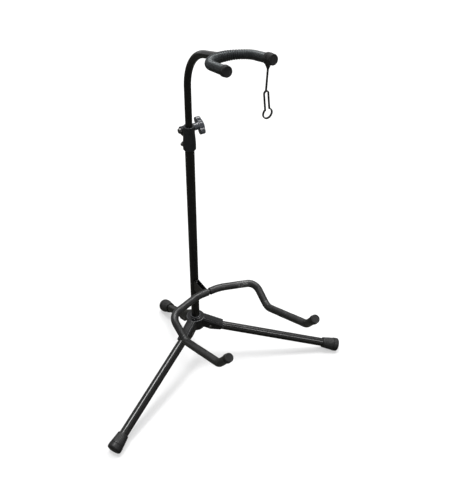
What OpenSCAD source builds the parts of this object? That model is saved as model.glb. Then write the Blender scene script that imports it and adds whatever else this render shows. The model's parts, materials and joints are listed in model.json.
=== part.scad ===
// Folding tripod stand for a guitar: a telescopic pole on three folding legs,
// a padded cradle for the body and a padded yoke for the neck.
// Millimetres, +Z up, front towards -Y, floor at Z = 0.

/* [Pole] */
// Outer diameter of the lower pole
pole_d = 18.2; // [18:0.1:19]
// Outer diameter of the upper tube
mast_d = 13.2; // [12.8:0.1:13.6]
// Wall thickness of the steel tubes
wall = 1.2; // [1:0.1:1.2]
// Height of the lower pole's top end
pole_top_z = 575; // [570:1:578]
// Depth of the upper tube's foot end inside the lower pole
mast_inside = 230; // [210:5:260]

/* [Tripod] */
// Outer diameter of the leg tubes
leg_d = 19; // [18.6:0.1:19.6]
// Height at which the leg axes cross the pole axis
hub_z = 96; // [92:1:100]
// Distance from the pole axis to a front foot's end
front_reach = 331; // [320:1:338]
// Distance from the pole axis to the rear foot's end
rear_reach = 165; // [160:1:180]
// Height of the middle of a foot's end above the floor
foot_z = 11; // [10.4:0.2:11.6]
// Distance from the pole axis to a leg's pivot
pivot_r = 33; // [32:1:36]
// Distance from the pole axis to the end of a hub arm
arm_reach = 62; // [58:1:66]
// Thickness of the hub's pressed sheet
sheet = 2; // [1.8:0.1:2.4]

/* [Cradle] */
// Diameter of the cradle's bar
cradle_bar_d = 11; // [10:0.5:12]
// Outer diameter of the cradle's foam sleeves
cradle_foam_d = 15.6; // [15:0.2:16]
// Distance from the middle to each arm
arm_x = 96; // [90:1:102]
// Height of the cradle's cross bar
cradle_z = 233; // [225:1:240]
// Distance from the pole axis forward to the cross bar
cradle_out = 63; // [60:1:66]

/* [Neck yoke] */
// Diameter of the neck yoke's bar
neck_bar_d = 9; // [8:0.5:10]
// Outer diameter of the neck yoke's foam sleeve
neck_foam_d = 15; // [14.4:0.2:15.4]
// Half the distance between the arms' ends
neck_half = 40.5; // [39:0.5:43]
// Upward slope of the neck yoke, in degrees
neck_tilt = 12; // [8:1:15]
// Distance from the pole axis forward to the back of the yoke
neck_out = 123; // [119:1:127]
// Distance from the pole axis forward to the ends of the yoke
neck_tip_out = 204; // [198:1:208]
// Height of the ends of the yoke
neck_tip_z = 792; // [785:1:800]
// Radius of the upper tube's forward bend
mast_bend_r = 90; // [80:1:95]

/* [Clamp] */
// Height of the clamp collar's lower face
collar_z = 545; // [543:1:548]
// Height of the clamp collar
collar_h = 50; // [48:1:54]
// Distance from the pole axis back to the clamp bolt
bolt_back = 17; // [16.5:0.5:18]
// Height of the clamp bolt
bolt_z = 579; // [578:1:582]
// Diameter of the clamp bolt
bolt_d = 6; // [5:0.5:6]
// Length of the wing knob, tip to tip
knob_span = 35.5; // [34:0.5:40]

/* [Retention strap] */
// Distance from the arm's axis down to the middle of the keyhole's round end
strap_drop = 93; // [90:1:98]
// Outer width of the keyhole's round end
keyhole_w = 19; // [18:0.5:21]
// Thickness of the moulded strap
strap_t = 3; // [2.5:0.1:3.5]

/* [Hidden] */

$fn = 64;
fine = 96;                                   // smooth turned surfaces

pole_y = 69;                                 // pole axis behind the middle of the whole stand
pole_r = pole_d / 2;
mast_r = mast_d / 2;
pole_bore = pole_r - wall;
leg_r = leg_d / 2;
hub_top_z = hub_z + 16;
hub_low_z = hub_z - 10;
drum_low_z = hub_z - 12;
drum_r = 20;                                 // round middle of the hub
front_azimuth = 30;                          // front legs' angle ahead of the X axis
leg_play = 0.35;                             // room between a leg and its channel
rivet_r = 3;
fit_gap = 0.05;                              // running clearance on a radius
soft_gap = 0.35;                             // room between soft parts that move past each other
foam_bore_gap = 0.06;                        // between a bar and the foam on it
lap = 0.5;                                   // how far a bar's straights run into its bends
proud = 0.02;                                // how much wider a straight is than a bend
black = [0.05, 0.05, 0.055];
steel = [0.16, 0.16, 0.17];
foam_grey = [0.2, 0.2, 0.21];
rubber_grey = [0.13, 0.13, 0.13];

// ---------- vectors and bent bars ----------

function unit(v) = v / norm(v);
function turn_angle(p, i) = acos(unit(p[i] - p[i - 1]) * unit(p[i + 1] - p[i]));
function is_bend(p, i) = i > 0 && i < len(p) - 1;
// how much of a straight a bend of radius r takes up
function bend_cut(p, r, i) = is_bend(p, i) ? r[i] * tan(turn_angle(p, i) / 2) : 0;

module ring_profile(outer, inner) {
  difference() {
    circle(outer);
    if (inner > 0) circle(inner);
  }
}

// straight length of bar from a to b
module straight(a, b, outer, inner) {
  d = unit(b - a);
  side = abs(d.z) < 0.9 ? unit(cross([0, 0, 1], d)) : unit(cross([1, 0, 0], d));
  up = cross(d, side);
  multmatrix([[side.x, up.x, d.x, a.x],
              [side.y, up.y, d.y, a.y],
              [side.z, up.z, d.z, a.z],
              [0, 0, 0, 1]])
    linear_extrude(norm(b - a)) ring_profile(outer, inner);
}

// bend of radius r at corner v, from direction u to direction w
module bend(v, u, w, r, outer, inner) {
  turn = acos(u * w);
  inward = unit(w - (w * u) * u);
  centre = v - u * r * tan(turn / 2) + inward * r;
  x = -inward;
  z = cross(x, u);
  multmatrix([[x.x, u.x, z.x, centre.x],
              [x.y, u.y, z.y, centre.y],
              [x.z, u.z, z.z, centre.z],
              [0, 0, 0, 1]])
    rotate_extrude(angle = turn, $fn = fine) translate([r, 0]) ring_profile(outer, inner);
}

// bar through the corners p, each rounded to its radius in r
module bent_bar(p, r, outer, inner = 0) {
  for (i = [0 : len(p) - 2]) {
    d = unit(p[i + 1] - p[i]);
    from = is_bend(p, i) ? bend_cut(p, r, i) - lap : 0;
    to = is_bend(p, i + 1) ? bend_cut(p, r, i + 1) - lap : 0;
    straight(p[i] + d * from, p[i + 1] - d * to, outer + proud, max(inner - proud, 0));
  }
  for (i = [1 : len(p) - 2])
    bend(p[i], unit(p[i] - p[i - 1]), unit(p[i + 1] - p[i]), r[i], outer, inner);
}

// turns +Z to direction d and moves it to point p
module aim(p, d) {
  translate(p)
    rotate([0, acos(d.z / norm(d)), atan2(d.y, d.x)])
      children();
}

module on_pole() { translate([0, pole_y, 0]) children(); }

// ---------- tripod ----------

function leg_tilt(reach) = atan2(hub_z - foot_z, reach);
function leg_length(reach) = norm([reach, hub_z - foot_z]);
function leg_height(reach, r) = hub_z - r * tan(leg_tilt(reach));
function pivot_s(reach) = pivot_r / cos(leg_tilt(reach));
leg_inboard = 9;                             // tube left behind the pivot
foot_cap = 6;                                // rubber beyond the tube's end

// +X runs out along a leg from the pole axis
module along_leg(azimuth, reach) {
  translate([0, pole_y, hub_z])
    rotate([0, 0, azimuth])
      rotate([0, leg_tilt(reach), 0])
        children();
}

module leg(azimuth, reach) {
  start = pivot_s(reach) - leg_inboard;
  color(black)
    along_leg(azimuth, reach)
      difference() {
        translate([start, 0, 0])
          rotate([0, 90, 0])
            linear_extrude(leg_length(reach) - foot_cap - start)
              ring_profile(leg_r, leg_r - wall);
        translate([pivot_s(reach), 0, 0])
          rotate([90, 0, 0])
            cylinder(r = rivet_r + fit_gap, h = 3 * leg_r, center = true);
      }
}

cheek_half = leg_r + leg_play + sheet;       // from a leg's axis to its channel's outer face

module leg_rivet(azimuth, reach) {
  head_r = 4.4;
  head_h = 2;
  color(steel)
    along_leg(azimuth, reach)
      translate([pivot_s(reach), 0, 0])
        rotate([90, 0, 0]) {
          cylinder(r = rivet_r, h = 2 * cheek_half, center = true);
          for (side = [0, 1])
            mirror([0, 0, side])
              translate([0, 0, cheek_half])
                cylinder(r1 = head_r, r2 = head_r - 1.5, h = head_h);
        }
}

foot_len = 38;
foot_r = 15.2;
foot_neck_r = 11.7;
foot_band = 12;                              // plain band at the foot's end
foot_groove = 1.2;                           // width and depth of the groove behind it
foot_round = 4.5;

module foot(azimuth, reach) {
  end = leg_length(reach);
  color(rubber_grey)
    difference() {
      along_leg(azimuth, reach)
        rotate([0, 90, 0])
          difference() {
            rotate_extrude($fn = fine)
              translate([0, end]) {
                polygon([[0, -foot_len], [foot_neck_r, -foot_len],
                         [foot_r - foot_groove / 2, -foot_band - foot_groove],
                         [foot_r - foot_groove, -foot_band - foot_groove],
                         [foot_r - foot_groove, -foot_band],
                         [foot_r, -foot_band], [foot_r, -foot_round], [0, -foot_round]]);
                translate([foot_r - foot_round, -foot_round])
                  intersection() {
                    circle(foot_round);
                    square(foot_round);
                  }
                translate([0, -foot_round]) square([foot_r - foot_round, foot_round]);
              }
            translate([0, 0, end - foot_len - 1])
              cylinder(r = leg_r, h = foot_len - foot_cap + 1);
          }
      translate([-400, -400, -20]) cube([800, 800, 20]);
    }
}

// ---------- hub ----------

web_corner = 8;                              // rounding of a channel's upper edges

function web_end_z(reach) =
  leg_height(reach, arm_reach) + (leg_r + leg_play + sheet) / cos(leg_tilt(reach));
function web_slope(reach) = atan2(hub_top_z - web_end_z(reach), arm_reach - drum_r);

// inverted U section, top at 0
module channel_section(half, corner) {
  depth = 60;
  translate([-half, -depth]) square([2 * half, depth - corner]);
  translate([corner - half, -corner]) square([2 * (half - corner), corner]);
  for (side = [-1, 1])
    translate([side * (half - corner), -corner]) circle(corner);
}

// solid with the channel's section, its top following the web
module channel_block(reach, half, corner, lower) {
  translate([drum_r, 0, hub_top_z])
    rotate([0, web_slope(reach), 0])
      translate([-2 * drum_r, 0, -lower])
        rotate([90, 0, 90])
          linear_extrude(arm_reach + 4 * drum_r) channel_section(half, corner);
}

// side view of an arm: what the cheeks keep of the block
module arm_outline(reach) {
  low = leg_height(reach, arm_reach) - 3;
  rotate([90, 0, 0])
    linear_extrude(4 * leg_r, center = true)
      polygon([[0, hub_low_z], [drum_r, hub_low_z], [pivot_r, leg_height(reach, pivot_r) - 8],
               [arm_reach - 6, low], [arm_reach, low + 6], [arm_reach, hub_top_z], [0, hub_top_z]]);
}

module hub_arm(azimuth, reach) {
  rotate([0, 0, azimuth])
    intersection() {
      channel_block(reach, cheek_half, web_corner, 0);
      arm_outline(reach);
    }
}

module hub_arm_inside(azimuth, reach) {
  rotate([0, 0, azimuth])
    intersection() {
      channel_block(reach, cheek_half - sheet, web_corner - sheet, sheet);
      translate([0, -2 * leg_r, 0]) cube([2 * arm_reach, 4 * leg_r, hub_top_z - sheet]);
    }
}

module each_leg() {
  for (leg = [[-front_azimuth, front_reach], [180 + front_azimuth, front_reach], [90, rear_reach]]) {
    $azimuth = leg[0];
    $reach = leg[1];
    children();
  }
}

module hub_spider() {
  rim_h = 4;
  color(black)
    difference() {
      on_pole()
        difference() {
          union() {
            each_leg() hub_arm($azimuth, $reach);
            translate([0, 0, drum_low_z]) cylinder(r = drum_r, h = hub_top_z - drum_low_z);
            translate([0, 0, hub_top_z]) cylinder(r = pole_r + sheet, h = rim_h);
          }
          each_leg() hub_arm_inside($azimuth, $reach);
          translate([0, 0, hub_low_z - 30])
            cylinder(r = drum_r - sheet, h = hub_top_z - hub_low_z - sheet + 30);
          cylinder(r = pole_r, h = hub_top_z + 2 * rim_h);
        }
      each_leg()
        along_leg($azimuth, $reach)
          translate([pivot_s($reach), 0, 0])
            rotate([90, 0, 0])
              cylinder(r = rivet_r, h = 3 * cheek_half, center = true);
    }
}

// ---------- pole ----------

pole_low_z = hub_z + 2;
plug_h = 10;

module lower_pole() {
  color(black)
    on_pole()
      translate([0, 0, pole_low_z])
        linear_extrude(pole_top_z - pole_low_z) ring_profile(pole_r, pole_bore);
}

module pole_plug() {
  color(rubber_grey)
    on_pole()
      translate([0, 0, pole_low_z]) {
        cylinder(r = pole_bore, h = plug_h);
        translate([0, 0, -3]) cylinder(r1 = pole_r - 1.5, r2 = pole_r, h = 3);
      }
}

bush_h = 26;
bush_flange = 2.5;

module pole_bush() {
  color(rubber_grey)
    on_pole()
      translate([0, 0, pole_top_z])
        difference() {
          union() {
            translate([0, 0, -bush_h]) cylinder(r = pole_bore, h = bush_h);
            cylinder(r = pole_r, h = bush_flange);
          }
          translate([0, 0, -bush_h - 1])
            cylinder(r = mast_r + fit_gap, h = bush_h + bush_flange + 2);
        }
}

// ---------- clamp ----------

collar_r = 12.4;
collar_top_r = 11;
lug_half = 9;                                // clamp lugs, from the middle outwards
lug_r = 8;
screw_r = 2;
screw_back = 16;
screw_z = collar_z + 5;
collar_slit = 2;

module lug(y, z, r, half) {
  translate([0, y, z]) rotate([0, 90, 0]) cylinder(r = r, h = 2 * half, center = true);
  translate([-half, 0, z - r]) cube([2 * half, y, 2 * r]);
}

module clamp_collar() {
  chamfer = 2;
  step_z = pole_top_z + bush_flange;
  color(black)
    on_pole()
      difference() {
        union() {
          rotate_extrude($fn = fine)
            polygon([[0, collar_z], [collar_r - chamfer, collar_z], [collar_r, collar_z + chamfer],
                     [collar_r, collar_z + 16], [collar_top_r, step_z + 4],
                     [collar_top_r, collar_z + collar_h - 1],
                     [collar_top_r - 1, collar_z + collar_h], [0, collar_z + collar_h]]);
          lug(bolt_back, bolt_z, lug_r, lug_half);
          lug(screw_back, screw_z, 5, 6.5);
        }
        translate([0, 0, collar_z - 1]) cylinder(r = pole_r, h = step_z - collar_z + 1);
        cylinder(r = mast_r + fit_gap, h = collar_z + 2 * collar_h);
        translate([-collar_slit / 2, 0, collar_z - 1])
          cube([collar_slit, 40, collar_h + 2]);
        translate([0, bolt_back, bolt_z])
          rotate([0, 90, 0]) cylinder(d = bolt_d, h = 60, center = true);
        translate([0, screw_back, screw_z])
          rotate([0, 90, 0]) cylinder(r = screw_r, h = 60, center = true);
      }
}

washer_h = 1.4;
knob_x = lug_half + washer_h + 0.1;
knob_hub_h = 18;
knob_t = 9.5;                                // thickness of the wings along the axis
knob_turn = 43;                              // slope of the wings as it is left, in degrees
insert_r = 4.4;
bolt_end_x = knob_x + knob_hub_h - 2;
bolt_head_h = 4;

module clamp_bolt() {
  color(steel)
    on_pole()
      translate([0, bolt_back, bolt_z])
        rotate([0, 90, 0]) {
          translate([0, 0, -lug_half]) cylinder(d = bolt_d, h = bolt_end_x + lug_half);
          translate([0, 0, -lug_half - bolt_head_h])
            cylinder(r1 = 4.6, r2 = 6, h = bolt_head_h);
        }
}

module knob_washer() {
  color(steel)
    on_pole()
      translate([lug_half, bolt_back, bolt_z])
        rotate([0, 90, 0])
          linear_extrude(washer_h) ring_profile(bolt_d + 0.5, bolt_d / 2);
}

// the knob's axis is Z, its wings lie along X
module knob_place() {
  on_pole()
    translate([knob_x, bolt_back, bolt_z])
      rotate([knob_turn, 0, 0])
        rotate([90, 0, 90])
          children();
}

module clamp_knob() {
  tip_r = 6.4;
  tip_x = knob_span / 2 - tip_r;
  web = 11;
  color(black)
    knob_place()
      difference() {
        union() {
          cylinder(r1 = 7.4, r2 = 6.8, h = knob_hub_h);
          translate([0, 0, knob_hub_h - 1]) {
            cylinder(r = 7.4, h = knob_t);
            translate([-tip_x, -web / 2, 0]) cube([2 * tip_x, web, knob_t]);
            for (side = [-1, 1]) translate([side * tip_x, 0, 0]) cylinder(r = tip_r, h = knob_t);
          }
        }
        translate([0, 0, -1]) cylinder(r = insert_r, h = knob_hub_h + 1);
      }
}

module knob_insert() {
  color([0.5, 0.42, 0.2])
    knob_place()
      linear_extrude(knob_hub_h) ring_profile(insert_r, bolt_d / 2 + fit_gap);
}

module collar_screw() {
  color(steel)
    on_pole()
      translate([0, screw_back, screw_z])
        rotate([0, 90, 0]) {
          translate([0, 0, -6.5]) cylinder(r = screw_r, h = 18);
          translate([0, 0, -9.5]) cylinder(r1 = 2.6, r2 = 3.8, h = 3);
        }
}

module collar_nut() {
  color(steel)
    on_pole()
      translate([6.5, screw_back, screw_z])
        rotate([0, 90, 0])
          difference() {
            cylinder(r = 4.05, h = 3.2, $fn = 6);
            translate([0, 0, -1]) cylinder(r = screw_r, h = 6);
          }
}

// ---------- cradle ----------

cradle_y = pole_y - cradle_out;
arm_low = [arm_x + 1, cradle_y - 78, cradle_z - 28];
arm_high = [arm_x + 2, cradle_y - 209, cradle_z + 33];
arm_end = [arm_x - 2, cradle_y - 238, cradle_z + 73];
// corners of one half, from the middle to the end of the arm
cradle_half = [
  [26, cradle_y, cradle_z],
  [arm_x + 4, cradle_y - 24, cradle_z - 1],
  arm_low, arm_high, arm_end
];
cradle_bends = [80, 24, 25, 28, 0];
cap_h = 11;
cap_skirt = 8;                               // length of bar inside a cap
tip_way = unit(arm_end - arm_high);

function mirrored(p) = [for (v = p) [-v.x, v.y, v.z]];
function reversed(p) = [for (i = [len(p) - 1 : -1 : 0]) p[i]];
function shortened(p, cut) =
  [for (i = [0 : len(p) - 1])
    i < len(p) - 1 ? p[i] : p[i] - unit(p[i] - p[i - 1]) * cut];

bar_half = shortened(cradle_half, cap_h - cap_skirt);
foam_half = shortened(cradle_half, cap_h);

module cradle_tube() {
  color(black)
    bent_bar(concat(mirrored(reversed(bar_half)), bar_half),
             concat(reversed(cradle_bends), cradle_bends),
             cradle_bar_d / 2, cradle_bar_d / 2 - wall);
}

bracket_half = 5.6;                          // outer half width of the bracket
bracket_low_z = cradle_z - 34;
bracket_top_z = cradle_z - 8.5;
bracket_strip = 1.8;                         // thickness of its folded strip

module cradle_sleeve(path) {
  color(foam_grey)
    difference() {
      bent_bar(path, concat([0], cradle_bends), cradle_foam_d / 2, cradle_bar_d / 2 + foam_bore_gap);
      translate([-bracket_half - 0.5, cradle_y, cradle_z - 9])
        cube([2 * bracket_half + 1, 20, 10.5]);
    }
}

sleeve_seam = 1.1;                           // half the gap between the two sleeves
right_foam = concat([[sleeve_seam, cradle_y, cradle_z]], foam_half);

module cradle_sleeve_right() { cradle_sleeve(right_foam); }
module cradle_sleeve_left() { cradle_sleeve(mirrored(right_foam)); }

// end cap pushed over a bar: axis Z, mouth at 0
module end_cap(outer, height, bore, depth) {
  round = 1.6;
  difference() {
    rotate_extrude($fn = fine) {
      square([outer - round, height]);
      square([outer, height - round]);
      translate([outer - round, height - round]) circle(round);
    }
    translate([0, 0, -1]) cylinder(r = bore, h = depth + 1);
  }
}

cradle_cap_r = 9.1;

module cradle_cap(side) {
  end = [side * arm_end.x, arm_end.y, arm_end.z];
  way = [side * tip_way.x, tip_way.y, tip_way.z];
  color(black)
    aim(end - way * cap_h, way)
      end_cap(cradle_cap_r, cap_h, cradle_bar_d / 2 + proud, cap_skirt);
}

module cradle_cap_left() { cradle_cap(-1); }
module cradle_cap_right() { cradle_cap(1); }

module yoke_bracket() {
  bar_back = cradle_y + cradle_bar_d / 2;
  color(black)
    difference() {
      union() {
        on_pole()
          intersection() {
            translate([0, 0, bracket_low_z])
              linear_extrude(bracket_top_z - bracket_low_z)
                ring_profile(pole_r + bracket_strip, pole_r);
            translate([-bracket_half, -2 * pole_r, 0])
              cube([2 * bracket_half, 2 * pole_r, 2 * bracket_top_z]);
          }
        for (side = [-1, 1])
          translate([side * (bracket_half - bracket_strip / 2), 0, 0])
            rotate([90, 0, 90])
              linear_extrude(bracket_strip, center = true)
                polygon([[pole_y - 4, bracket_low_z], [pole_y - 4, bracket_top_z],
                         [bar_back + 6, bracket_top_z], [bar_back - 0.5, cradle_z + 1],
                         [bar_back - 3, cradle_z + 1], [cradle_y + 0.5, cradle_z - 3],
                         [cradle_y + 0.5, bracket_top_z - 1.5], [pole_y - 16, bracket_low_z]]);
      }
      on_pole() translate([0, 0, bracket_low_z - 1]) cylinder(r = pole_r, h = 60);
      translate([-40, cradle_y, cradle_z]) rotate([0, 90, 0]) cylinder(d = cradle_bar_d, h = 80);
    }
}

module bracket_rivets() {
  color(steel)
    for (z = [bracket_low_z + 6, bracket_top_z - 6])
      on_pole()
        translate([0, -pole_r - bracket_strip, z])
          rotate([90, 0, 0]) cylinder(r1 = 2.9, r2 = 2, h = 1.5);
}

// ---------- mast and neck yoke ----------

function on_yoke(x, out) =
  [x, pole_y - out, neck_tip_z - (neck_tip_out - out) * tan(neck_tilt)];

neck_back = on_yoke(0, neck_out);
mast_low_z = pole_top_z - mast_inside;
mast_corner = on_yoke(0, 0) - [0, 0, 10];
mast_path = [[0, pole_y, mast_low_z], mast_corner, neck_back];

module upper_tube() {
  color(black)
    difference() {
      bent_bar(mast_path, [0, mast_bend_r, 0], mast_r, mast_r - wall);
      translate(neck_back - [40, 0, 0]) rotate([0, 90, 0]) cylinder(d = neck_bar_d, h = 80);
      translate(neck_back) rotate([-neck_tilt, 0, 0]) translate([-20, -40, -20]) cube([40, 40, 40]);
    }
}

module glide_bush() {
  color(rubber_grey)
    on_pole()
      translate([0, 0, mast_low_z - 4])
        difference() {
          union() {
            cylinder(r = pole_bore - fit_gap, h = 4);
            cylinder(r = mast_r - wall - fit_gap, h = 22);
          }
          translate([0, 0, -1]) cylinder(r = 3.5, h = 40);
        }
}

neck_corner = 36;                            // radius of the yoke's rounded back
neck_cap_h = 9;
neck_cap_skirt = 6.5;
neck_right = [on_yoke(neck_half - 3.5, neck_out), on_yoke(neck_half, neck_tip_out)];
neck_way = unit(neck_right[1] - neck_right[0]);
neck_bar_path = shortened(neck_right, neck_cap_h - neck_cap_skirt);
neck_foam_path = shortened(neck_right, neck_cap_h);

module neck_yoke_bar() {
  color(black)
    bent_bar(concat(mirrored(reversed(neck_bar_path)), neck_bar_path),
             [0, neck_corner, neck_corner, 0], neck_bar_d / 2);
}

strap_ring_w = 6.5;                          // length of the strap's ring along the arm

module neck_sleeve() {
  color(foam_grey)
    difference() {
      bent_bar(concat(mirrored(reversed(neck_foam_path)), neck_foam_path),
               [0, neck_corner, neck_corner, 0], neck_foam_d / 2,
               neck_bar_d / 2 + foam_bore_gap);
      aim(neck_back, mast_corner - neck_back) cylinder(r = mast_r + 0.1, h = 30);
    }
}

neck_cap_r = 9.3;

module neck_cap(side) {
  end = [side * neck_right[1].x, neck_right[1].y, neck_right[1].z];
  way = [side * neck_way.x, neck_way.y, neck_way.z];
  color(black)
    aim(end - way * neck_cap_h, way)
      end_cap(neck_cap_r, neck_cap_h, neck_bar_d / 2 + proud, neck_cap_skirt);
}

module neck_cap_left() { neck_cap(-1); }
module neck_cap_right() { neck_cap(1); }

// ---------- retention strap ----------

strap_ring_r = neck_foam_d / 2 + soft_gap;
strap_wall = 1.6;
strap_cord = 1.9;                            // width of the strap's thin neck and loop
strap_slot_w = 10;                           // outer width of the keyhole's slot
strap_slot_top = 52;                         // from the arm's axis to the slot's upper end
strap_lean = 3;                              // the stem's lean towards the middle, in degrees
strap_curl = 6.5;                            // the loop's lean the other way, in degrees
strap_middle = neck_right[1] - neck_way * (neck_cap_h + strap_ring_w / 2 + 0.6);

// the keyhole drawn narrower by inset all round
module keyhole(inset) {
  slot_r = strap_slot_w / 2;
  fall = strap_drop - strap_slot_top;
  rotate(-strap_lean) translate([0, -strap_slot_top])
    rotate(strap_lean + strap_curl) {
      translate([0, -slot_r]) circle(slot_r - inset);
      translate([inset - slot_r, -fall]) square([2 * (slot_r - inset), fall - slot_r]);
      translate([0, -fall]) circle(keyhole_w / 2 - inset);
    }
}

// flat outline, Y up, the arm's axis at 0
module strap_outline() {
  root = 1 - strap_ring_r;
  rotate(-strap_lean) {
    polygon([[-6, root], [6, root], [strap_cord / 2, root - 10], [-strap_cord / 2, root - 10]]);
    translate([-strap_cord / 2, -strap_slot_top - 1])
      square([strap_cord, strap_slot_top - strap_ring_r]);
  }
  keyhole(0);
}

module retention_strap() {
  color(rubber_grey)
    translate(strap_middle)
      rotate([90, 0, atan2(neck_way.x, -neck_way.y)])
        difference() {
          union() {
            rotate([-neck_tilt, 0, 0])
              cylinder(r = strap_ring_r + strap_wall, h = strap_ring_w, center = true);
            linear_extrude(strap_t, center = true)
              difference() {
                strap_outline();
                keyhole(strap_cord);
              }
          }
          rotate([-neck_tilt, 0, 0]) cylinder(r = strap_ring_r, h = 40, center = true);
        }
}

// ---------- sub-parts ----------

module leg_left() { leg(180 + front_azimuth, front_reach); }
module leg_right() { leg(-front_azimuth, front_reach); }
module leg_rear() { leg(90, rear_reach); }
module leg_rivet_left() { leg_rivet(180 + front_azimuth, front_reach); }
module leg_rivet_right() { leg_rivet(-front_azimuth, front_reach); }
module leg_rivet_rear() { leg_rivet(90, rear_reach); }
module foot_left() { foot(180 + front_azimuth, front_reach); }
module foot_right() { foot(-front_azimuth, front_reach); }
module foot_rear() { foot(90, rear_reach); }

lower_pole();
pole_plug();
pole_bush();
hub_spider();
leg_left();
leg_right();
leg_rear();
leg_rivet_left();
leg_rivet_right();
leg_rivet_rear();
foot_left();
foot_right();
foot_rear();
yoke_bracket();
bracket_rivets();
cradle_tube();
cradle_sleeve_left();
cradle_sleeve_right();
cradle_cap_left();
cradle_cap_right();
clamp_collar();
clamp_bolt();
knob_washer();
clamp_knob();
knob_insert();
collar_screw();
collar_nut();
glide_bush();
upper_tube();
neck_yoke_bar();
neck_sleeve();
neck_cap_left();
neck_cap_right();
retention_strap();
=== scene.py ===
"""Looks of the guitar stand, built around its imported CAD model.

Metres, +Z up, front towards -Y, floor at Z = 0. Each piece that stands for a CAD node is
modelled where the node lies, with its object at the origin, and rides on the node's body.
"""
import json
import math

import bmesh
import bpy
import numpy as np
from mathutils import Matrix, Vector

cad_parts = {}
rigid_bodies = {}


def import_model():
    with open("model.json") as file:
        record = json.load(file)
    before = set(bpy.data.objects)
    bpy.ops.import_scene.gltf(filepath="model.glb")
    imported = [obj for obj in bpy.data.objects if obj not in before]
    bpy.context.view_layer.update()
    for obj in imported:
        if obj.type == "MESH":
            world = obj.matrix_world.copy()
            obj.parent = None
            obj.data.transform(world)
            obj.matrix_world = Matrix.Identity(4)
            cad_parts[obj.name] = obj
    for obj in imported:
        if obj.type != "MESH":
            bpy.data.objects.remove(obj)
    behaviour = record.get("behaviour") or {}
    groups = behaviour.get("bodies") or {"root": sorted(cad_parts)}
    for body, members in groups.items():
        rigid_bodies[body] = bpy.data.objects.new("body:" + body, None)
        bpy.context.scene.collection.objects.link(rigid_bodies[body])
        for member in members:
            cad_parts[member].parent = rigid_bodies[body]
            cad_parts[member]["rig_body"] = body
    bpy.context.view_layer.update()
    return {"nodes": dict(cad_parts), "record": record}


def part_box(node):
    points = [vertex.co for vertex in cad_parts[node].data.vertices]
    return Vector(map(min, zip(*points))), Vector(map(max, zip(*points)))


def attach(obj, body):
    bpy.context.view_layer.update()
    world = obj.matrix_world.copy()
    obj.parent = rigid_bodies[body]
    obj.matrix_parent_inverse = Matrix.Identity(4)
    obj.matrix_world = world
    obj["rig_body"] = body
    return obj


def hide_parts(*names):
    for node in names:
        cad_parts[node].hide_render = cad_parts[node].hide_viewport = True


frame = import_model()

MM = 0.001
NEAR_TOGETHER = 1e-6                         # points this close count as one
NODES = frame["nodes"]
SLOT_OF = {row["node"]: row["material_slot"] for row in frame["record"]["subparts"]}


# ---------- sizes of the CAD model, which its boxes don't give ----------

def box_middle(node):
    low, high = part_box(node)
    return (low + high) / 2


POLE = box_middle("lower_pole")
LEG_R = 9.5 * MM
HUB_Z = 96 * MM                              # where the legs' axes cross the pole's
FOOT_Z = 11 * MM                             # the middle of each foot's end
LEGS = {"left": (210, 331 * MM), "right": (-30, 331 * MM), "rear": (90, 165 * MM)}  # degrees, reach
CHANNEL_GAP = 0.35 * MM                      # from a leg to the cheeks of its channel
CHANNEL_WALL = 2 * MM

# corners in millimetres, from the middle of the bar to the tip of its right arm
CRADLE_HALF = [(26, 6, 233), (100, -18, 232), (97, -72, 205), (98, -203, 266), (94, -232, 306)]
CRADLE_BENDS = [r * MM for r in (80, 24, 25, 28)]
BAR_R = 5.5 * MM
FOAM_R = 7.8 * MM
SEAM_HALF = 1.7 * MM                         # half the gap between the two sleeves
CRADLE_CAP = {"radius": 9.1 * MM, "height": 11 * MM, "bore": BAR_R, "depth": 8 * MM}

NECK_RIGHT = [(37, -54, 774.78), (40.5, -135, 792)]
NECK_BENDS = [36 * MM, 36 * MM]
NECK_BAR_R = 4.5 * MM
NECK_FOAM_R = 7.9 * MM
NECK_CAP = {"radius": 9.3 * MM, "height": 9 * MM, "bore": NECK_BAR_R, "depth": 6.5 * MM}
SLEEVE_GAP = 0.06 * MM                       # between a bar and the foam on it

KNOB_SLOPE = 43                              # of the wings, in degrees


def metres(points):
    return [Vector(p) * MM for p in points]


def mirrored(points):
    return [Vector((-p.x, p.y, p.z)) for p in points]


# ---------- paths ----------

def rounded_path(points, radii, step):
    """Points along the corners, each inner one rounded to its radius, about step apart."""
    out = [points[0]]
    for before, corner, after, radius in zip(points, points[1:], points[2:], radii):
        way_in = (corner - before).normalized()
        way_out = (after - corner).normalized()
        turn = way_in.angle(way_out)
        inward = (way_out - way_in * way_in.dot(way_out)).normalized()
        start = corner - way_in * radius * math.tan(turn / 2)
        centre = start + inward * radius
        count = max(2, math.ceil(radius * turn / step))
        for i in range(count + 1):
            angle = turn * i / count
            out.append(centre + (way_in * math.sin(angle) - inward * math.cos(angle)) * radius)
    out.append(points[-1])
    dense = np.array(out)
    run = np.concatenate([[0], np.cumsum(np.linalg.norm(np.diff(dense, axis=0), axis=1))])
    places = np.linspace(0, run[-1], max(2, math.ceil(run[-1] / step)) + 1)
    return np.stack([np.interp(places, run, dense[:, k]) for k in range(3)], axis=1)


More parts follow.
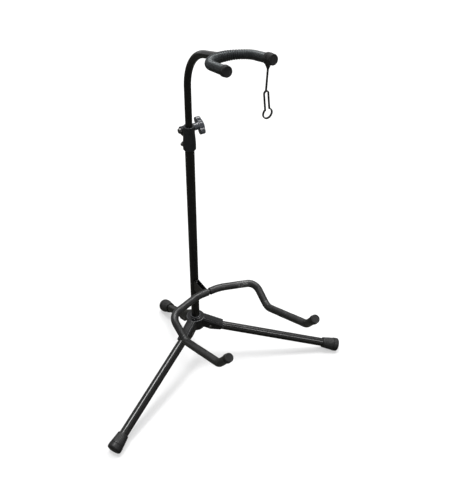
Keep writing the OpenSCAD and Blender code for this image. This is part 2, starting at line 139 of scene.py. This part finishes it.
class Route:
    """A path with a frame that doesn't twist along it."""

    def __init__(self, points):
        self.p = points
        steps = np.linalg.norm(np.diff(points, axis=0), axis=1)
        self.s = np.concatenate([[0], np.cumsum(steps)])
        self.length = self.s[-1]
        slope = np.gradient(points, self.s, axis=0)
        self.way = slope / np.linalg.norm(slope, axis=1, keepdims=True)
        self.curve = np.gradient(self.way, self.s, axis=0)
        up = np.array([0, 0, 1.0])
        ups = []
        for way in self.way:
            up = up - way * (up @ way)
            up /= np.linalg.norm(up)
            ups.append(up)
        self.up = np.array(ups)

    def at(self, s):
        """Point, way, up and curvature at each place in s."""
        rows = [np.stack([np.interp(s, self.s, a[:, k]) for k in range(3)], axis=1)
                for a in (self.p, self.way, self.up, self.curve)]
        for i in (1, 2):
            rows[i] /= np.linalg.norm(rows[i], axis=1, keepdims=True)
        return rows


# ---------- meshes ----------

def new_object(name, mesh):
    obj = bpy.data.objects.new(name, mesh)
    bpy.context.scene.collection.objects.link(obj)
    mesh.shade_smooth()
    return obj


def ring_mesh(name, rings, lids=False):
    """Closed surface through rings of points. The last ring joins the first, or with lids both are
    closed by a flat face."""
    rows, sides = len(rings), len(rings[0])
    faces = [tuple(range(sides)), tuple(range((rows - 1) * sides, rows * sides))] if lids else []
    for i in range(rows - 1 if lids else rows):
        a, b = i * sides, ((i + 1) % rows) * sides
        faces += [(a + j, a + (j + 1) % sides, b + (j + 1) % sides, b + j) for j in range(sides)]
    mesh = bpy.data.meshes.new(name)
    mesh.from_pydata(np.concatenate(rings).tolist(), [], faces)
    tidy(mesh)
    return mesh


def tidy(mesh):
    """Joins points that lie together and turns all faces outwards."""
    work = bmesh.new()
    work.from_mesh(mesh)
    bmesh.ops.remove_doubles(work, verts=work.verts, dist=NEAR_TOGETHER)
    bmesh.ops.dissolve_degenerate(work, edges=work.edges, dist=NEAR_TOGETHER / 10)
    bmesh.ops.recalc_face_normals(work, faces=work.faces)
    work.to_mesh(mesh)
    work.free()


def end_rounded(length, step, rounding, steps=6):
    """Places along a sleeve and how far its surface drops there to round its ends."""
    angle = np.linspace(0, math.pi / 2, steps + 1)[:-1]
    near = rounding * (1 - np.cos(angle))
    drop = rounding * (1 - np.sin(angle))
    count = max(2, math.ceil((length - 2 * rounding) / step))
    middle = np.linspace(rounding, length - rounding, count + 1)
    places = np.concatenate([near, middle, (length - near)[::-1]])
    return places, np.concatenate([drop, 0 * middle, drop[::-1]])


def sleeve(name, route, bore, radius, rounding, step, sides=56):
    """Sleeve on a bar. radius(s, angle, inside) is its outer surface; inside is the curvature,
    which is above 0 on the inner side of a bend."""
    places, drop = end_rounded(route.length, step, rounding)
    point, way, up, curve = route.at(places)
    side = np.cross(way, up)
    angle = np.linspace(0, 2 * math.pi, sides, endpoint=False)
    out = up[:, None] * np.cos(angle)[None, :, None] + side[:, None] * np.sin(angle)[None, :, None]
    inside = np.einsum("ijk,ik->ij", out, curve)
    outer = radius(places[:, None], angle[None, :], inside) - drop[:, None]
    skin = point[:, None] + out * outer[..., None]
    core = (point[:, None] + out * bore)[::-1]
    skip = max(1, round(3 * MM / step))      # the bore is hidden and needs fewer rings
    core = np.concatenate([core[:1], core[::skip][1:-1], core[-1:]])
    return new_object(name, ring_mesh(name, list(skin) + list(core)))


def turned(name, outline, place, sides=72, flutes=None):
    """Turned piece: outline is a closed loop of (radius, height); place puts its axis in the frame.
    flutes(radius, height, angle) changes the radius round the piece."""
    angle = np.linspace(0, 2 * math.pi, sides, endpoint=False)
    rings = []
    for r, h in outline:
        radius = np.full(sides, float(r)) if flutes is None else flutes(r, h, angle)
        ring = np.stack([radius * np.cos(angle), radius * np.sin(angle), np.full(sides, h)], axis=1)
        rings.append(ring)
    mesh = ring_mesh(name, rings)
    mesh.transform(place)
    return new_object(name, mesh)


def filleted(corners, radii, arc_steps=6):
    """Closed loop of (radius, height) corners, each rounded to its own radius."""
    out = []
    count = len(corners)
    for i, radius in enumerate(radii):
        corner = Vector((*corners[i], 0))
        if radius == 0:
            out.append(tuple(corner[:2]))
            continue
        way_in = (corner - Vector((*corners[i - 1], 0))).normalized()
        way_out = (Vector((*corners[(i + 1) % count], 0)) - corner).normalized()
        turn = way_in.angle(way_out)
        inward = (way_out - way_in * way_in.dot(way_out)).normalized()
        start = corner - way_in * radius * math.tan(turn / 2)
        centre = start + inward * radius
        for k in range(arc_steps + 1):
            a = turn * k / arc_steps
            p = centre + (way_in * math.sin(a) - inward * math.cos(a)) * radius
            out.append((p.x, p.y))
    return out


def aimed(point, way):
    """Matrix that turns +Z to way and moves the origin to point."""
    return Matrix.Translation(point) @ Vector(way).to_track_quat("Z", "Y").to_matrix().to_4x4()


def softened(node, name, voxel, passes, grow=0.0, added=None):
    """Copy of a CAD node with its edges and inner corners rounded, as cast or pressed parts have.
    It is remeshed at voxel, smoothed passes times and pushed out by grow; added is a mesh that is
    melted into it."""
    mesh = NODES[node].data.copy()
    mesh.materials.clear()
    tidy(mesh)
    if added:
        both = bmesh.new()
        both.from_mesh(mesh)
        both.from_mesh(added)
        both.to_mesh(mesh)
        both.free()
    work = new_object(name, mesh)
    remesh = work.modifiers.new("remesh", "REMESH")
    remesh.mode = "VOXEL"
    remesh.voxel_size = voxel
    smooth = work.modifiers.new("smooth", "SMOOTH")
    smooth.factor = 0.5
    smooth.iterations = passes
    if grow:
        push = work.modifiers.new("push", "DISPLACE")
        push.mid_level = 0
        push.strength = grow
    bpy.context.view_layer.update()
    graph = bpy.context.evaluated_depsgraph_get()
    soft_mesh = bpy.data.meshes.new_from_object(work.evaluated_get(graph))
    work.modifiers.clear()
    work.data = soft_mesh
    soft_mesh.shade_smooth()
    return work


# ---------- materials ----------

class Finish:
    """A Principled material with textures in the object's own coordinates. Scales are in features
    per metre, and a ramp's stops are (place, colour or grey level)."""

    def __init__(self, name, **sockets):
        self.material = bpy.data.materials.new(name)
        self.material.use_nodes = True
        self.tree = self.material.node_tree
        self.shader = self.tree.nodes["Principled BSDF"]
        for socket, value in sockets.items():
            self.shader.inputs[socket.replace("_", " ")].default_value = value
        self.place = self.tree.nodes.new("ShaderNodeTexCoord").outputs["Object"]

    def link(self, source, socket):
        self.tree.links.new(source, socket)

    def noise(self, scale, detail=3.0, stretch=None):
        node = self.tree.nodes.new("ShaderNodeTexNoise")
        node.inputs["Scale"].default_value = scale
        node.inputs["Detail"].default_value = detail
        source = self.place
        if stretch:
            mapping = self.tree.nodes.new("ShaderNodeMapping")
            mapping.inputs["Scale"].default_value = stretch
            self.link(source, mapping.inputs["Vector"])
            source = mapping.outputs["Vector"]
        self.link(source, node.inputs["Vector"])
        return node.outputs["Fac"]

    def near(self, point, reach):
        """1 at point, fading to 0 at reach."""
        node = self.tree.nodes.new("ShaderNodeVectorMath")
        node.operation = "DISTANCE"
        self.link(self.place, node.inputs[0])
        node.inputs[1].default_value = point
        return self.ramp(node.outputs["Value"], [(0.3 * reach, 1.0), (reach, 0.0)])

    def edges(self):
        """Above a half on outer edges and below it in corners."""
        return self.tree.nodes.new("ShaderNodeNewGeometry").outputs["Pointiness"]

    def pores(self, scale):
        node = self.tree.nodes.new("ShaderNodeTexVoronoi")
        node.inputs["Scale"].default_value = scale
        self.link(self.place, node.inputs["Vector"])
        return node.outputs["Distance"]

    def ramp(self, source, stops):
        node = self.tree.nodes.new("ShaderNodeValToRGB")
        ramp = node.color_ramp
        for i, (place, value) in enumerate(stops):
            stop = ramp.elements[i] if i < 2 else ramp.elements.new(place)
            stop.position = place
            stop.color = (*value, 1) if isinstance(value, tuple) else (value, value, value, 1)
        self.link(source, node.inputs["Fac"])
        return node.outputs["Color"]

    def mix(self, factor, a, b):
        node = self.mixer("MIX", a, b)
        self.link(factor, node.inputs["Factor"])
        return node.outputs["Result"]

    def times(self, a, b):
        node = self.mixer("MULTIPLY", a, b)
        node.inputs["Factor"].default_value = 1.0
        return node.outputs["Result"]

    def mixer(self, kind, a, b):
        node = self.tree.nodes.new("ShaderNodeMix")
        node.data_type = "RGBA"
        node.blend_type = kind
        self.link(a, node.inputs["A"])
        self.link(b, node.inputs["B"])
        return node

    def blotched(self, colour, other, scale):
        """Colour that wanders between two close shades."""
        return self.ramp(self.noise(scale), [(0.35, colour), (0.65, other)])

    def bump(self, *heights):
        """Each height is (source, strength, distance)."""
        last = None
        for source, strength, distance in heights:
            node = self.tree.nodes.new("ShaderNodeBump")
            node.inputs["Strength"].default_value = strength
            node.inputs["Distance"].default_value = distance
            self.link(source, node.inputs["Height"])
            if last:
                self.link(last, node.inputs["Normal"])
            last = node.outputs["Normal"]
        self.link(last, self.shader.inputs["Normal"])

    def colour(self, source):
        self.link(source, self.shader.inputs["Base Color"])

    def roughness(self, source):
        self.link(source, self.shader.inputs["Roughness"])


def powder_coat():
    f = Finish("powder_coat", Specular_IOR_Level=0.42)
    base = f.blotched((0.0022, 0.0021, 0.0019), (0.0038, 0.0035, 0.0030), 35)
    scuff = f.ramp(f.noise(220, 6), [(0.69, 0.0), (0.76, 1.0)])
    worn = f.ramp(f.noise(60), [(0.4, (0.016, 0.016, 0.017)), (0.6, (0.03, 0.03, 0.031))])
    f.colour(f.mix(scuff, base, worn))
    f.roughness(f.ramp(f.noise(90, 4), [(0.35, 0.21), (0.65, 0.27)]))
    f.bump((f.noise(1500, 2), 0.10, 0.0002), (f.noise(380, 2), 0.08, 0.0004))
    return f.material


def cast_coat():
    """The hub's coating, paler on its edges: a painted highlight where lamps would glint on them.
    """
    f = Finish("cast_coat", Specular_IOR_Level=0.45)
    base = f.blotched((0.0018, 0.0019, 0.0022), (0.0040, 0.0042, 0.0048), 60)
    # painted highlight: the sharp edges are mixed towards a pale colour that stands in for lamp
    # glints
    edge = f.ramp(f.edges(), [(0.52, 0.0), (0.555, 1.0)])
    patchy_edge_highlight = f.times(edge, f.ramp(f.noise(140, 4), [(0.3, 0.35), (0.6, 1.0)]))
    rubbed_and_highlight = f.ramp(f.noise(60), [(0.4, (0.16, 0.165, 0.18)), (0.6, (0.27, 0.275, 0.29))])
    f.colour(f.mix(patchy_edge_highlight, base, rubbed_and_highlight))
    f.roughness(f.ramp(f.noise(90, 4), [(0.35, 0.17), (0.65, 0.26)]))
    f.bump((f.noise(900, 2), 0.10, 0.0002), (f.noise(240, 2), 0.10, 0.0005))
    return f.material


def foam():
    """The cradle's foam: fine cells, a few scuffs and one spot worn pale."""
    spot, spot_reach = (0.074, -0.010, 0.240), 0.017
    f = Finish("foam", Roughness=0.36, Specular_IOR_Level=0.45, Sheen_Weight=0.02,
               Sheen_Roughness=0.4)
    base = f.blotched((0.0040, 0.0041, 0.0038), (0.009, 0.0092, 0.0090), 45)
    cells = f.ramp(f.pores(1100), [(0.05, 0.78), (0.45, 1.0)])
    shade = f.times(base, cells)
    scuff = f.ramp(f.noise(150, 7), [(0.66, 0.0), (0.75, 0.8)])
    worn = f.ramp(f.noise(40), [(0.4, (0.095, 0.095, 0.094)), (0.6, (0.12, 0.12, 0.118))])
    rubbed_and_highlight = f.times(f.near(spot, spot_reach),
                     f.ramp(f.noise(330, 5), [(0.48, 0.0), (0.58, 1.0)]))
    pale = f.ramp(f.noise(40), [(0.4, (0.16, 0.16, 0.157)), (0.6, (0.22, 0.22, 0.215))])
    f.colour(f.mix(rubbed_and_highlight, f.mix(scuff, shade, worn), pale))
    f.bump((f.pores(1100), 0.35, 0.0003), (f.noise(260, 3), 0.25, 0.0006))
    return f.material


def ribbed_foam():
    f = Finish("ribbed_foam", Roughness=0.34, Specular_IOR_Level=0.62, Sheen_Weight=0.03,
               Sheen_Roughness=0.35, Specular_Tint=(0.90, 0.98, 1.0, 1.0))
    base = f.blotched((0.004, 0.0044, 0.0048), (0.008, 0.0086, 0.0094), 80)
    cells = f.ramp(f.pores(1500), [(0.05, 0.8), (0.4, 1.0)])
    f.colour(f.times(base, cells))
    f.bump((f.pores(1500), 0.2, 0.0002))
    return f.material


def soft_rubber():
    f = Finish("soft_rubber", Specular_IOR_Level=0.36)
    base = f.blotched((0.0035, 0.0035, 0.0034), (0.0075, 0.0074, 0.0070), 70)
    dust = f.ramp(f.noise(300, 6), [(0.55, 0.0), (0.8, 0.35)])
    pale = f.ramp(f.noise(30), [(0.3, (0.05, 0.052, 0.055)), (0.7, (0.07, 0.073, 0.078))])
    f.colour(f.mix(dust, base, pale))
    f.roughness(f.ramp(f.noise(120, 4), [(0.3, 0.38), (0.7, 0.55)]))
    f.bump((f.noise(1800, 3), 0.18, 0.0002))
    return f.material


def clamp_plastic():
    f = Finish("clamp_plastic", Specular_IOR_Level=0.45)
    f.colour(f.blotched((0.0040, 0.0048, 0.0064), (0.0070, 0.0082, 0.0100), 90))
    f.roughness(f.ramp(f.noise(160, 4), [(0.3, 0.30), (0.7, 0.42)]))
    f.bump((f.noise(2200, 2), 0.12, 0.00015), (f.noise(300, 2), 0.06, 0.0004))
    return f.material


def knob_plastic():
    f = Finish("knob_plastic", Specular_IOR_Level=0.6, Coat_Weight=0.4, Coat_Roughness=0.22)
    f.colour(f.blotched((0.020, 0.023, 0.029), (0.032, 0.036, 0.044), 110))
    f.roughness(f.ramp(f.noise(180, 4), [(0.3, 0.22), (0.7, 0.32)]))
    f.bump((f.noise(500, 2), 0.04, 0.0003))
    return f.material


def nylon():
    f = Finish("nylon", Subsurface_Weight=0.1)
    f.colour(f.blotched((0.060, 0.060, 0.058), (0.085, 0.084, 0.080), 120))
    f.roughness(f.ramp(f.noise(200, 3), [(0.3, 0.4), (0.7, 0.55)]))
    f.bump((f.noise(1600, 2), 0.1, 0.0002))
    return f.material


def metal(name, dull, bright, rough_low, rough_high, stretch):
    f = Finish(name, Metallic=1.0)
    f.colour(f.blotched(dull, bright, 250))
    grain = f.noise(700, 4, stretch)
    f.roughness(f.ramp(grain, [(0.3, rough_low), (0.7, rough_high)]))
    f.bump((grain, 0.12, 0.0001))
    return f.material


MATERIALS = {
    "powder_coat": powder_coat(),
    "foam": foam(),
    "ribbed_foam": ribbed_foam(),
    "soft_rubber": soft_rubber(),
    "clamp_plastic": clamp_plastic(),
    "knob_plastic": knob_plastic(),
    "nylon": nylon(),
    "zinc_steel": metal("zinc_steel", (0.085, 0.083, 0.08), (0.16, 0.155, 0.15), 0.28, 0.42,
                        (1, 1, 6)),
    "brass": metal("brass", (0.55, 0.38, 0.14), (0.70, 0.50, 0.20), 0.22, 0.36, (6, 1, 1)),
}


def stand_for(piece, node):
    """piece replaces a CAD node and takes its body, material slot and finish."""
    piece.data.materials.clear()
    piece.data.materials.append(MATERIALS[SLOT_OF[node]])
    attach(piece, NODES[node]["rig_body"])
    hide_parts(node)
    return piece


# ---------- cradle ----------

def foam_skin(radius, squeeze):
    """Outer surface of a plain foam sleeve: a little uneven, creased inside its bends and pressed
    in by squeeze."""
    crease_from, crease_full, crease_pitch = 18, 40, 5.5 * MM    # curvatures in 1/m, then length
    span = crease_full - crease_from

    def surface(s, angle, inside):
        uneven = (np.sin(130 * s + 2 * angle) + np.sin(71 * s - angle + 1.3)
                  + np.sin(233 * s + 3 * angle + 0.7)) * 0.05 * MM
        crease = np.clip(inside - crease_from, 0, span) / span
        wave = np.clip(np.sin(2 * math.pi * s / crease_pitch), 0, 1) ** 2
        fold = -crease * 0.55 * MM * wave
        return radius + uneven + fold + crease * 0.25 * MM - squeeze(s, angle)

    return surface


def cradle_sleeve(side):
    seam = Vector((SEAM_HALF, CRADLE_HALF[0][1] * MM, CRADLE_HALF[0][2] * MM))
    corners = [seam] + metres(CRADLE_HALF)
    last = corners[-1] - corners[-2]
    corners[-1] = corners[-1] - last.normalized() * CRADLE_CAP["height"]
    if side == "left":
        corners = mirrored(corners)
    route = Route(rounded_path(corners, CRADLE_BENDS, 0.5 * MM))
    back = 1 if side == "left" else -1       # sign of the angle that faces the pole
    cheek, fade = 5.2 * MM, 1.6 * MM

    def squeeze(s, angle):
        """Where the bracket's cheeks hold the bar, the foam is cut away behind it."""
        along = 1 - np.clip((s - cheek) / fade, 0, 1)
        behind = np.clip((back * np.sin(angle) - 0.1) / 0.3, 0, 1)
        low = np.clip((0.45 - np.cos(angle)) / 0.25, 0, 1)
        return (FOAM_R - BAR_R - 0.15 * MM) * along * behind * low

    piece = sleeve(f"cradle_foam_{side}", route, BAR_R + SLEEVE_GAP,
                   foam_skin(FOAM_R, squeeze), 1.4 * MM, 0.8 * MM)
    stand_for(piece, f"cradle_sleeve_{side}")


def cap(name, node, point, way, size):
    """Moulded end cap: a bead round its mouth, a slight taper and a rounded, dished face."""
    r, h = size["radius"], size["height"]
    bead, taper, dish = 1.8 * MM, 0.5 * MM, 0.5 * MM
    corners = [(size["bore"], 0), (r, 0), (r, bead), (r - 0.4 * MM, bead + 0.5 * MM),
               (r - taper, h), (0.74 * r, h), (0.68 * r, h - dish), (0, h - dish),
               (0, size["depth"]), (size["bore"], size["depth"])]
    radii = [0, 0.6 * MM, 0.5 * MM, 0.3 * MM, 1.5 * MM, 0.3 * MM, 0.3 * MM, 0, 0, 0]
    piece = turned(name, filleted(corners, radii), aimed(point - way * h, way))
    stand_for(piece, node)


def cradle_cap(side):
    points = metres(CRADLE_HALF)
    if side == "left":
        points = mirrored(points)
    cap(f"cradle_end_{side}", f"cradle_cap_{side}", points[-1],
        (points[-1] - points[-2]).normalized(), CRADLE_CAP)


# ---------- neck yoke ----------

def neck_sleeve():
    right = metres(NECK_RIGHT)
    right[1] = right[1] - (right[1] - right[0]).normalized() * NECK_CAP["height"]
    corners = mirrored(right[::-1]) + right
    route = Route(rounded_path(corners, NECK_BENDS, 0.25 * MM))
    pitch, groove = 4.2 * MM, 1.7 * MM
    swell, swell_aside, swell_reach = 1.9 * MM, 8 * MM, 48 * MM

    def ribs(s, angle, inside):
        """Round ribs, and a swelling on the upper side over the joint of bar and tube."""
        rib = np.abs(np.sin(math.pi * s / pitch)) ** 0.55
        uneven = 0.08 * MM * np.sin(90 * s + 2 * angle)
        away = np.clip(np.abs(s - route.length / 2 + swell_aside) / swell_reach, 0, 1)
        upper = np.clip(0.6 + 0.6 * np.cos(angle), 0, 1)
        joint = swell * (0.5 + 0.5 * np.cos(math.pi * away)) * upper
        return NECK_FOAM_R - groove * (1 - rib) + uneven + joint

    piece = sleeve("neck_foam", route, NECK_BAR_R + SLEEVE_GAP, ribs, 1.2 * MM, pitch / 10)
    stand_for(piece, "neck_sleeve")


def neck_cap(side):
    points = metres(NECK_RIGHT)
    if side == "left":
        points = mirrored(points)
    cap(f"neck_end_{side}", f"neck_cap_{side}", points[1],
        (points[1] - points[0]).normalized(), NECK_CAP)


# ---------- tripod ----------

def leg_ends(side):
    """Where the leg's axis crosses the pole's, and the middle of its foot's end."""
    azimuth, reach = LEGS[side]
    turn = math.radians(azimuth)
    start = Vector((POLE.x, POLE.y, HUB_Z))
    end = Vector((POLE.x + reach * math.cos(turn), POLE.y + reach * math.sin(turn), FOOT_Z))
    return start, end


def foot(side):
    """Rubber foot: a fluted cone, a groove and a plain band, worn flat where it stands."""
    start, end = leg_ends(side)
    way = (end - start).normalized()
    length, band, groove, r, neck = 38 * MM, 12 * MM, 1.2 * MM, 15.2 * MM, 11.7 * MM
    sole, dish, flute_count, flute_depth, facet = 6 * MM, 0.5 * MM, 28, 0.45 * MM, 2 * MM
    corners = [(LEG_R, -length), (neck, -length), (r - groove / 2, -band - groove),
               (r - groove, -band - groove), (r - groove, -band), (r, -band), (r, 0),
               (0.62 * r, 0), (0.56 * r, -dish), (0, -dish), (0, -sole), (LEG_R, -sole)]
    radii = [0, 1.0 * MM, 0.5 * MM, 0, 0, 0.5 * MM, 4.2 * MM, 0.3 * MM, 0.3 * MM, 0, 0, 0]
    outline = []
    loop = filleted(corners, radii)
    for a, b in zip(loop, loop[1:] + loop[:1]):
        count = max(1, math.ceil(math.dist(a, b) / facet))
        outline += [(a[0] + (b[0] - a[0]) * k / count, a[1] + (b[1] - a[1]) * k / count)
                    for k in range(count)]

    def flutes(radius, height, angle):
        fade_in = np.clip((height + length - 2 * MM) / (3 * MM), 0, 1)
        fade_out = np.clip((-band - groove - 1.5 * MM - height) / (2 * MM), 0, 1)
        outside = 1.0 if radius > LEG_R + 0.5 * MM else 0.0
        wave = 0.5 - 0.5 * np.cos(flute_count * angle)
        return radius - flute_depth * wave * fade_in * fade_out * outside

    piece = turned(f"rubber_foot_{side}", outline, aimed(end, way), 8 * flute_count, flutes)
    for vertex in piece.data.vertices:
        vertex.co.z = max(vertex.co.z, 0)
    stand_for(piece, f"foot_{side}")


def rivet(side):
    """Tubular rivet with domed heads through a leg and its channel."""
    azimuth = math.radians(LEGS[side][0])
    across = Vector((-math.sin(azimuth), math.cos(azimuth), 0))
    low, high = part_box(f"leg_rivet_{side}")
    half = LEG_R + CHANNEL_GAP + CHANNEL_WALL
    head_r, head_h, shank, dimple, dimple_h = 4.4 * MM, 2.0 * MM, 3 * MM, 1.2 * MM, 0.6 * MM
    dome = [(head_r * math.cos(a), half + head_h * math.sin(a))
            for a in np.linspace(0, math.pi / 2, 8)[:-1]]
    top = [(shank, half)] + dome + [(dimple + 0.3 * MM, half + head_h),
                                    (dimple, half + head_h - dimple_h),
                                    (0, half + head_h - dimple_h)]
    outline = top + [(r, -h) for r, h in reversed(top)]
    piece = turned(f"rivet_{side}", outline, aimed((low + high) / 2, across), 48)
    stand_for(piece, f"leg_rivet_{side}")


# ---------- height clamp ----------

def wing_swell():
    """The full body of the wing knob: an oval that is widest in its middle, with an outer face that
    is rounded to its sides and arched along its length."""
    low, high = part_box("clamp_knob")
    middle = (low + high) / 2
    half, wide, lift, arch = 17.6 * MM, 7.0 * MM, 18.1 * MM, 3.2 * MM
    # height above lift and inset of the side, in millimetres: a step, a wall and a round edge
    profile = [(0, 3), (0, 0), (5, 0), (6.6, 0.5), (7.8, 1.7), (8.35, 3.6), (8.4, 6.9)]
    face = profile[-1][0]
    sides = 96
    turn = np.linspace(0, 2 * math.pi, sides, endpoint=False)
    flat = half - wide
    across = wide * np.sin(turn)
    run = np.linspace(-1, 1, sides // 2 + 1)
    share = np.concatenate([run[::-1], run[1:-1]])    # 1 to -1 and back, once round the outline
    round_end = np.where(np.cos(turn) > 0, flat, -flat) + wide * np.cos(turn)
    along = np.where(np.abs(share) < 0.5, share * 2 * flat, round_end)
    spine = np.clip(along, -flat, flat)
    rings = []
    for height, inset in profile:
        scale = 1 - inset * MM / wide
        rise = arch * np.cos(along / half * math.pi / 2) * height / face
        rings.append(np.stack([spine + (along - spine) * scale, across * scale,
                               lift + height * MM + rise], axis=1))
    mesh = ring_mesh("wing_swell", rings, lids=True)
    mesh.transform(Matrix.Translation((low.x, middle.y, middle.z))
                   @ Matrix.Rotation(math.radians(KNOB_SLOPE), 4, "X")
                   @ Matrix.Rotation(math.radians(90), 4, "Z")
                   @ Matrix.Rotation(math.radians(90), 4, "X"))
    return mesh


# ---------- the whole stand ----------

for side in ("left", "right"):
    cradle_sleeve(side)
    cradle_cap(side)
    neck_cap(side)
neck_sleeve()
for side in LEGS:
    foot(side)
    rivet(side)
hub = stand_for(softened("hub_spider", "hub_casting", 0.6 * MM, 3), "hub_spider")
# the hub keeps its slot, but it alone has a coating with a painted highlight on its edges
hub.material_slots[0].material = cast_coat()
stand_for(softened("clamp_collar", "collar_moulding", 0.4 * MM, 5), "clamp_collar")
stand_for(softened("clamp_knob", "wing_knob", 0.35 * MM, 14, 0.1 * MM, wing_swell()), "clamp_knob")
stand_for(softened("yoke_bracket", "bracket_plate", 0.35 * MM, 3), "yoke_bracket")
stand_for(softened("retention_strap", "strap_moulding", 0.3 * MM, 5, 0.18 * MM), "retention_strap")

for name, node in NODES.items():
    for holder in node.material_slots:
        holder.material = MATERIALS[SLOT_OF[name]]
    node.data.shade_smooth()


# ---------- room, light and camera ----------

def floor():
    """Pale ground that glows a little, as one lit from all sides does. Shiny faces mirror the room
    and not the ground."""
    mesh = bpy.data.meshes.new("floor")
    half = 400                               # so wide that its edge lies in the horizon
    mesh.from_pydata([(-half, -half, 0), (half, -half, 0), (half, half, 0), (-half, half, 0)],
                     [], [(0, 1, 2, 3)])
    f = Finish("floor", Roughness=0.75, Specular_IOR_Level=0.1, Emission_Strength=0.5,
               Emission_Color=(1, 1, 1, 1))
    f.colour(f.blotched((0.40, 0.40, 0.40), (0.42, 0.42, 0.42), 2))
    mesh.materials.append(f.material)
    plane = bpy.data.objects.new("floor", mesh)
    bpy.context.scene.collection.objects.link(plane)
    plane.visible_glossy = False


def lamp(name, towards, strength, spread):
    """Distant lamp in direction towards, with its apparent width in degrees."""
    data = bpy.data.lights.new(name, "SUN")
    data.energy = strength
    data.angle = math.radians(spread)
    light = bpy.data.objects.new(name, data)
    bpy.context.scene.collection.objects.link(light)
    light.rotation_euler = Vector(towards).to_track_quat("Z", "Y").to_euler()


def world():
    """A studio's pale walls about the horizon, dim overhead. The dim part below the horizon is
    behind the floor, and only glossy faces that look down mirror it."""
    shade = bpy.data.worlds.new("studio")
    shade.use_nodes = True
    nodes, link = shade.node_tree.nodes, shade.node_tree.links.new
    split = nodes.new("ShaderNodeSeparateXYZ")
    link(nodes.new("ShaderNodeTexCoord").outputs["Generated"], split.inputs["Vector"])
    height = nodes.new("ShaderNodeMapRange")           # 0 straight down, 1 straight up
    height.inputs["From Min"].default_value = -1
    link(split.outputs["Z"], height.inputs["Value"])
    ramp = nodes.new("ShaderNodeValToRGB")
    ramp.color_ramp.elements.new(0.5)
    ramp.color_ramp.elements.new(0.5)
    stops = [(0.455, (0.105, 0.104, 0.092, 1)), (0.485, (0.96, 0.96, 0.96, 1)),
             (0.53, (0.96, 0.96, 0.96, 1)), (0.67, (0.12, 0.122, 0.126, 1))]
    for stop, (place, colour) in zip(ramp.color_ramp.elements, stops):
        stop.position, stop.color = place, colour
    link(height.outputs["Result"], ramp.inputs["Fac"])
    link(ramp.outputs["Color"], nodes["Background"].inputs["Color"])
    bpy.context.scene.world = shade
    bpy.context.scene.view_settings.view_transform = "Standard"


def camera():
    """Above the stand, in front of it and to its left, with a lens a little longer than normal."""
    azimuth, elevation = math.radians(-30.92), math.radians(38.86)
    level = math.cos(elevation)
    back = Vector((math.sin(azimuth) * level, -math.cos(azimuth) * level, math.sin(elevation)))
    data = bpy.data.cameras.new("camera")
    data.sensor_width = 36
    data.lens = 51.588
    view = bpy.data.objects.new("camera", data)
    bpy.context.scene.collection.objects.link(view)
    view.location = Vector((-0.5438, -0.9684, 1.2439))
    view.rotation_euler = back.to_track_quat("Z", "Y").to_euler()
    bpy.context.scene.camera = view


floor()
world()
lamp("ceiling", (0.1, 0.3, 1), 1.2, 120)
lamp("softbox_back", (-0.05, 0.23, 0.97), 1.7, 14)
lamp("softbox_side", (0.15, -0.67, 0.73), 0.6, 14)
lamp("softbox_top", (0.40, 0.22, 0.89), 1.6, 24)
camera()
